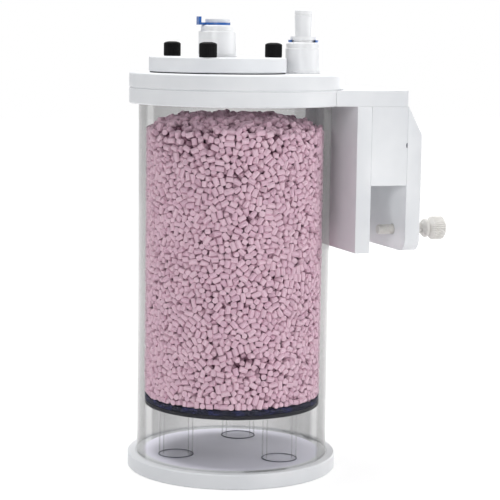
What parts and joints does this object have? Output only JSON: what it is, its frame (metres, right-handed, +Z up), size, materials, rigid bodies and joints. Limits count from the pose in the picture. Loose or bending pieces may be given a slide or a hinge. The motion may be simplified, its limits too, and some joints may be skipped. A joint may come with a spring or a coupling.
{
  "type": "canister filter",
  "caption": "Clear hang-on canister filter for an aquarium: pellet-filled tube with flanged ends, bolted lid, push-fit ports and a clamping hook bracket.",
  "frame": {"origin": "centre of the base's underside, on the clear tube's axis", "axes": "+Z up along the tube, +X from the tube to the hook bracket, +Y to the side that the inlet clip's tab points to"},
  "size_m": [0.1829, 0.1208, 0.2627],
  "materials": {
    "white_sheet": "satin sheet plastic",
    "white_moulding": "satin moulded plastic",
    "clear_tube": "clear polished acrylic",
    "black_plastic": "satin",
    "black_rubber": "matte",
    "black_foam": "open-cell foam",
    "pink_pellets": "matte extruded pellets",
    "steel": "turned",
    "blue_plastic": "satin",
    "ivory_nylon": "satin nylon"
  },
  "bodies": {
    "canister": {"base_plate": "white_sheet", "body_tube": "clear_tube", "flange_ring": "white_sheet", "top_plate": "white_sheet", "lid_gasket": "black_rubber", "bracket_arm": "white_sheet", "bracket_inner_leg": "white_sheet", "bracket_block": "white_sheet", "bracket_outer_leg": "white_sheet", "inlet_fitting_body": "white_moulding", "inlet_seal_ring": "black_rubber", "inlet_collet": "white_moulding", "downpipe": "white_moulding", "support_post_1": "clear_tube", "support_post_2": "clear_tube", "support_post_3": "clear_tube", "support_plate": "black_plastic", "sponge_pad": "black_foam", "media_bed": "pink_pellets"},
    "lid": {"lid": "white_sheet", "outlet_fitting_body": "white_moulding", "outlet_seal_ring": "black_rubber", "outlet_collet": "white_moulding"},
    "thumb_stem_1": {"thumb_screw_stem_1": "steel"},
    "thumb_head_1": {"thumb_screw_head_1": "black_plastic"},
    "thumb_stem_2": {"thumb_screw_stem_2": "steel"},
    "thumb_head_2": {"thumb_screw_head_2": "black_plastic"},
    "thumb_stem_3": {"thumb_screw_stem_3": "steel"},
    "thumb_head_3": {"thumb_screw_head_3": "black_plastic"},
    "clamp_rod_1": {"clamp_rod_1": "ivory_nylon"},
    "clamp_knob_1": {"clamp_knob_1": "ivory_nylon"},
    "clamp_rod_2": {"clamp_rod_2": "ivory_nylon"},
    "clamp_knob_2": {"clamp_knob_2": "ivory_nylon"},
    "outlet_clip": {"outlet_clip": "blue_plastic"},
    "inlet_clip": {"inlet_clip": "blue_plastic"},
    "blanking_plug": {"blanking_plug": "white_moulding"}
  },
  "joints": [
    {"name": "lid_lift", "type": "slide", "parent": "canister", "child": "lid", "axis": [0, 0, 1], "range_m": [0, 0.06]},
    {"name": "thumb_screw_1_travel", "type": "slide", "parent": "lid", "child": "thumb_stem_1", "axis": [0, 0, 1], "range_m": [0, 0.0085]},
    {"name": "thumb_screw_1_turn", "type": "hinge", "parent": "thumb_stem_1", "child": "thumb_head_1", "pos_m": [0.02307, 0.00136, 0.2355], "axis": [0, 0, 1], "range_deg": [0, 3826]},
    {"name": "thumb_screw_2_travel", "type": "slide", "parent": "lid", "child": "thumb_stem_2", "axis": [0, 0, 1], "range_m": [0, 0.0085]},
    {"name": "thumb_screw_2_turn", "type": "hinge", "parent": "thumb_stem_2", "child": "thumb_head_2", "pos_m": [-0.02907, 0.02874, 0.2355], "axis": [0, 0, 1], "range_deg": [0, 3826]},
    {"name": "thumb_screw_3_travel", "type": "slide", "parent": "lid", "child": "thumb_stem_3", "axis": [0, 0, 1], "range_m": [0, 0.0085]},
    {"name": "thumb_screw_3_turn", "type": "hinge", "parent": "thumb_stem_3", "child": "thumb_head_3", "pos_m": [-0.0267, -0.0301, 0.2355], "axis": [0, 0, 1], "range_deg": [0, 3826]},
    {"name": "clamp_1_travel", "type": "slide", "parent": "canister", "child": "clamp_rod_1", "axis": [1, 0, 0], "range_m": [-0.0092, 0.0105]},
    {"name": "clamp_1_turn", "type": "hinge", "parent": "clamp_rod_1", "child": "clamp_knob_1", "pos_m": [0.1077, -0.022, 0.1378], "axis": [1, 0, 0], "range_deg": [-3313, 3781]},
    {"name": "clamp_2_travel", "type": "slide", "parent": "canister", "child": "clamp_rod_2", "axis": [1, 0, 0], "range_m": [-0.0092, 0.0105]},
    {"name": "clamp_2_turn", "type": "hinge", "parent": "clamp_rod_2", "child": "clamp_knob_2", "pos_m": [0.1077, 0.022, 0.1378], "axis": [1, 0, 0], "range_deg": [-3313, 3781]},
    {"name": "outlet_clip_pull", "type": "slide", "parent": "lid", "child": "outlet_clip", "axis": [-1, 0, 0], "range_m": [0, 0.016]},
    {"name": "inlet_clip_pull", "type": "slide", "parent": "canister", "child": "inlet_clip", "axis": [0.342, 0.9397, 0], "range_m": [0, 0.016]},
    {"name": "plug_pull", "type": "slide", "parent": "canister", "child": "blanking_plug", "axis": [0, 0, 1], "range_m": [0, 0.024]}
  ],
  "couplings": [
    {"joint": "thumb_screw_1_turn", "follows": "thumb_screw_1_travel", "rad_per_m": 7854},
    {"joint": "thumb_screw_2_turn", "follows": "thumb_screw_2_travel", "rad_per_m": 7854},
    {"joint": "thumb_screw_3_turn", "follows": "thumb_screw_3_travel", "rad_per_m": 7854},
    {"joint": "clamp_1_turn", "follows": "clamp_1_travel", "rad_per_m": 6283.2},
    {"joint": "clamp_2_turn", "follows": "clamp_2_travel", "rad_per_m": 6283.2}
  ]
}
